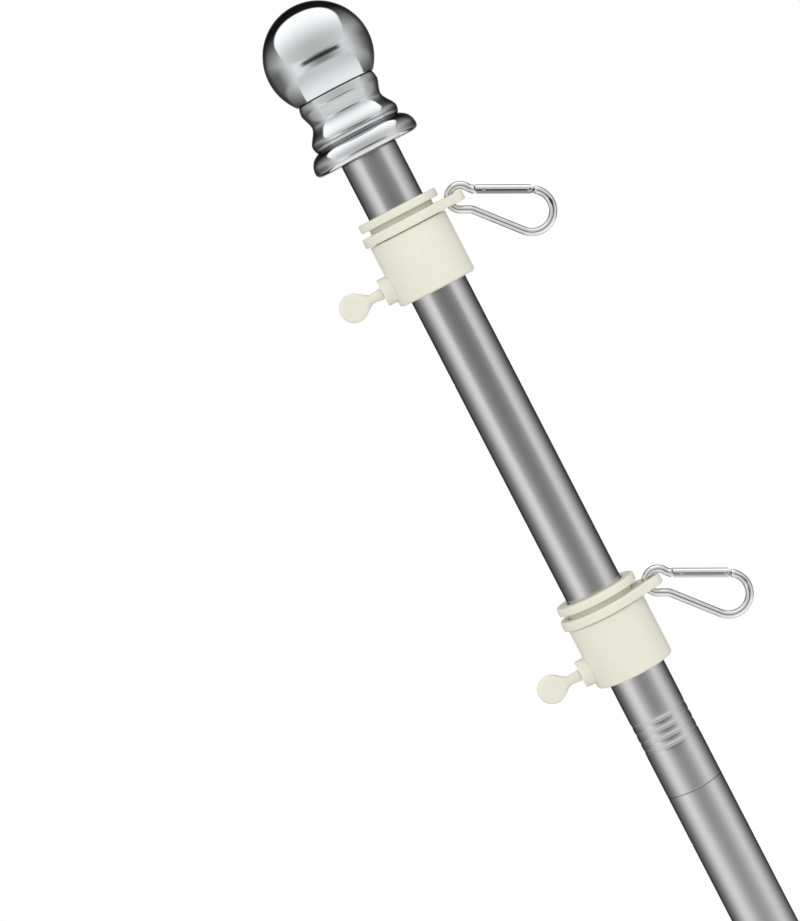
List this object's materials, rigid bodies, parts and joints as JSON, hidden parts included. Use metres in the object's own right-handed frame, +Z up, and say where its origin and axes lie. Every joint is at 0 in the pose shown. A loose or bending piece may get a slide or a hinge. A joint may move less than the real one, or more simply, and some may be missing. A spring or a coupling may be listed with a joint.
{
  "type": "wall-mounted flagpole",
  "caption": "Stainless sectional flagpole with a ball finial and sliding hook collars, held at 45 degrees in a cast two-position wall bracket.",
  "frame": {"origin": "on the back face of the wall plate, midway between its four screw holes", "axes": "+X out of the wall, +Z up the wall, Y along it; the pole lies in the XZ plane and rises towards +X and +Z; the wing screws stand on the -Y side"},
  "size_m": [1.1377, 0.077, 1.1766],
  "materials": {
    "cast_silver": "sand-textured silver paint on a casting",
    "zinc": "bright zinc plate",
    "stainless": "satin stainless tube",
    "mirror": "mirror chrome",
    "ivory": "smooth moulded ivory nylon",
    "hook_plate": "bright plated wire"
  },
  "bodies": {
    "wall_bracket": {"bracket": "cast_silver"},
    "socket_screw": {"wing_screw_socket_stud": "zinc", "wing_screw_socket_wings": "zinc"},
    "level_screw": {"wing_screw_level_stud": "zinc", "wing_screw_level_wings": "zinc"},
    "raised_screw": {"wing_screw_raised_stud": "zinc", "wing_screw_raised_wings": "zinc"},
    "pole": {"pole_section_1": "stainless", "pole_section_2": "stainless", "pole_section_3": "stainless", "pole_section_4": "stainless", "pole_section_5": "stainless", "pole_sleeve_1": "stainless", "pole_sleeve_2": "stainless", "pole_sleeve_3": "stainless", "pole_sleeve_4": "stainless", "finial_base": "mirror", "finial_ball": "mirror"},
    "upper_collar_body": {"upper_collar": "ivory"},
    "upper_thumb": {"upper_thumb_screw": "ivory"},
    "upper_swivel": {"upper_swivel_ring": "ivory"},
    "upper_hook_body": {"upper_hook": "hook_plate", "upper_hook_rivet": "hook_plate"},
    "upper_gate": {"upper_hook_gate": "hook_plate"},
    "lower_collar_body": {"lower_collar": "ivory"},
    "lower_thumb": {"lower_thumb_screw": "ivory"},
    "lower_swivel": {"lower_swivel_ring": "ivory"},
    "lower_hook_body": {"lower_hook": "hook_plate", "lower_hook_rivet": "hook_plate"},
    "lower_gate": {"lower_hook_gate": "hook_plate"}
  },
  "joints": [
    {"name": "pole_slide", "type": "slide", "parent": "wall_bracket", "child": "pole", "axis": [0.7071, 0, 0.7071], "range_m": [0, 0.03]},
    {"name": "socket_screw_turn", "type": "hinge", "parent": "wall_bracket", "child": "socket_screw", "pos_m": [0.02, -0.02, 0.00625], "axis": [0, -1, 0], "continuous": true},
    {"name": "level_screw_turn", "type": "hinge", "parent": "wall_bracket", "child": "level_screw", "pos_m": [0.05634, -0.02, 0.01227], "axis": [0, -1, 0], "continuous": true},
    {"name": "raised_screw_turn", "type": "hinge", "parent": "wall_bracket", "child": "raised_screw", "pos_m": [0.04152, -0.02, 0.03367], "axis": [0, -1, 0], "continuous": true},
    {"name": "upper_collar_slide", "type": "slide", "parent": "pole", "child": "upper_collar_body", "axis": [0.7071, 0, 0.7071], "range_m": [-0.03, 0.02]},
    {"name": "upper_thumb_turn", "type": "hinge", "parent": "upper_collar_body", "child": "upper_thumb", "pos_m": [1.03068, 0, 1.04772], "axis": [-0.7071, 0, 0.7071], "continuous": true},
    {"name": "upper_swivel_turn", "type": "hinge", "parent": "upper_collar_body", "child": "upper_swivel", "pos_m": [1.05839, 0, 1.05054], "axis": [0.7071, 0, 0.7071], "range_deg": [-145, 145]},
    {"name": "upper_hook_swing", "type": "hinge", "parent": "upper_swivel", "child": "upper_hook_body", "pos_m": [1.07616, 0, 1.03177], "axis": [0, 1, 0], "range_deg": [-80, 25]},
    {"name": "upper_gate_turn", "type": "hinge", "parent": "upper_hook_body", "child": "upper_gate", "pos_m": [1.08829, 0, 1.005], "axis": [0, -1, 0], "range_deg": [0, 12], "stiffness_Nm_per_rad": 0.005, "springref_deg": -28.65},
    {"name": "lower_collar_slide", "type": "slide", "parent": "pole", "child": "lower_collar_body", "axis": [0.7071, 0, 0.7071], "range_m": [-1.05, 0.02]},
    {"name": "lower_thumb_turn", "type": "hinge", "parent": "lower_collar_body", "child": "lower_thumb", "pos_m": [0.90135, 0, 0.91839], "axis": [-0.7071, 0, 0.7071], "continuous": true},
    {"name": "lower_swivel_turn", "type": "hinge", "parent": "lower_collar_body", "child": "lower_swivel", "pos_m": [0.92906, 0, 0.92121], "axis": [0.7071, 0, 0.7071], "range_deg": [-145, 145]},
    {"name": "lower_hook_swing", "type": "hinge", "parent": "lower_swivel", "child": "lower_hook_body", "pos_m": [0.94683, 0, 0.90244], "axis": [0, 1, 0], "range_deg": [-80, 25]},
    {"name": "lower_gate_turn", "type": "hinge", "parent": "lower_hook_body", "child": "lower_gate", "pos_m": [0.95896, 0, 0.87567], "axis": [0, -1, 0], "range_deg": [0, 12], "stiffness_Nm_per_rad": 0.005, "springref_deg": -28.65}
  ]
}
